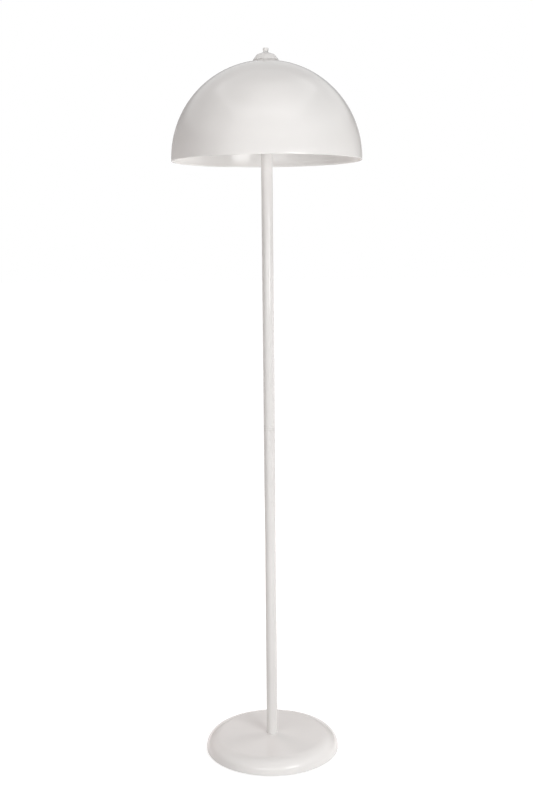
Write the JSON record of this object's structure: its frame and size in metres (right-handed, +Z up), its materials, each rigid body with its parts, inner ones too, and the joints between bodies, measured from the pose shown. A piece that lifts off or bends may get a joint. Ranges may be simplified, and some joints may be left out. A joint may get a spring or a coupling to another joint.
{
  "type": "mushroom floor lamp",
  "caption": "White enamelled floor lamp: domed shade with a capped finial on a sectional tube pole and a round weighted base.",
  "frame": {"origin": "centre of the base on the floor", "axes": "+Z up along the pole, -Y the front, +Y the rear where the supply lead enters, +X to the right seen from the front along the bulbs"},
  "size_m": [0.4, 0.4, 1.5247],
  "materials": {
    "white_enamel": "gloss",
    "shade_enamel": "gloss",
    "cast_iron": "rough cast",
    "felt": "felt",
    "zinc_steel": "zinc plated",
    "bush_rubber": "matte",
    "terminal_plastic": "matte",
    "brass": "satin",
    "holder_plastic": "gloss",
    "porcelain": "glazed",
    "lead_sheath": "matte",
    "bulb_insulator": "gloss",
    "bulb_metal": "satin",
    "opal_glass": "opal"
  },
  "bodies": {
    "stand": {"base_cover": "white_enamel", "base_weight": "cast_iron", "base_pad": "felt", "base_nipple": "zinc_steel", "base_washer": "zinc_steel", "base_lock_washer": "zinc_steel", "base_nut": "zinc_steel", "cord_inlet_bush": "bush_rubber", "cord_terminal": "terminal_plastic", "terminal_screws": "brass", "lower_pole": "white_enamel", "foot_bush": "zinc_steel", "lower_joint_bush": "white_enamel", "upper_joint_bush": "white_enamel", "upper_pole": "white_enamel", "pole_top_bush": "white_enamel", "hub_body": "white_enamel", "hub_lid": "white_enamel", "hub_nipple": "zinc_steel", "hub_nut": "zinc_steel", "stem_nuts": "zinc_steel", "shade_stem": "zinc_steel", "shade_seat": "zinc_steel", "seat_nut": "zinc_steel", "arm_nipples": "zinc_steel", "arm_nuts": "zinc_steel", "lampholder_caps": "holder_plastic", "lampholder_bodies": "holder_plastic", "contact_inserts": "porcelain", "centre_contacts": "brass", "screw_shells": "brass", "holder_leads": "lead_sheath", "pole_lead": "lead_sheath"},
    "shade": {"shade": "shade_enamel", "cap_ring": "white_enamel", "shade_cap": "white_enamel"},
    "finial_washer": {"finial_washer": "zinc_steel"},
    "finial_knob": {"finial_knob": "white_enamel"},
    "right_bulb_contact": {"right_bulb_contact": "bulb_insulator"},
    "right_bulb": {"right_bulb_cap": "bulb_metal", "right_bulb_glass": "opal_glass"},
    "left_bulb_contact": {"left_bulb_contact": "bulb_insulator"},
    "left_bulb": {"left_bulb_cap": "bulb_metal", "left_bulb_glass": "opal_glass"}
  },
  "joints": [
    {"name": "shade_lift", "type": "slide", "parent": "stand", "child": "shade", "axis": [0, 0, 1], "range_m": [0, 0.24]},
    {"name": "finial_rise", "type": "slide", "parent": "shade", "child": "finial_washer", "axis": [0, 0, 1], "range_m": [0, 0.007]},
    {"name": "finial_spin", "type": "hinge", "parent": "finial_washer", "child": "finial_knob", "pos_m": [0, 0, 1.52], "axis": [0, 0, 1], "range_deg": [0, 2520]},
    {"name": "right_bulb_travel", "type": "slide", "parent": "stand", "child": "right_bulb_contact", "axis": [1, 0, 0], "range_m": [0, 0.0254]},
    {"name": "right_bulb_spin", "type": "hinge", "parent": "right_bulb_contact", "child": "right_bulb", "pos_m": [0.09, 0, 1.4005], "axis": [1, 0, 0], "range_deg": [0, 2520]},
    {"name": "left_bulb_travel", "type": "slide", "parent": "stand", "child": "left_bulb_contact", "axis": [-1, 0, 0], "range_m": [0, 0.0254]},
    {"name": "left_bulb_spin", "type": "hinge", "parent": "left_bulb_contact", "child": "left_bulb", "pos_m": [-0.09, 0, 1.4005], "axis": [-1, 0, 0], "range_deg": [0, 2520]}
  ],
  "couplings": [
    {"joint": "finial_rise", "follows": "finial_spin", "m_per_rad": 0.00015915},
    {"joint": "right_bulb_travel", "follows": "right_bulb_spin", "m_per_rad": 0.00057757},
    {"joint": "left_bulb_travel", "follows": "left_bulb_spin", "m_per_rad": 0.00057757}
  ]
}
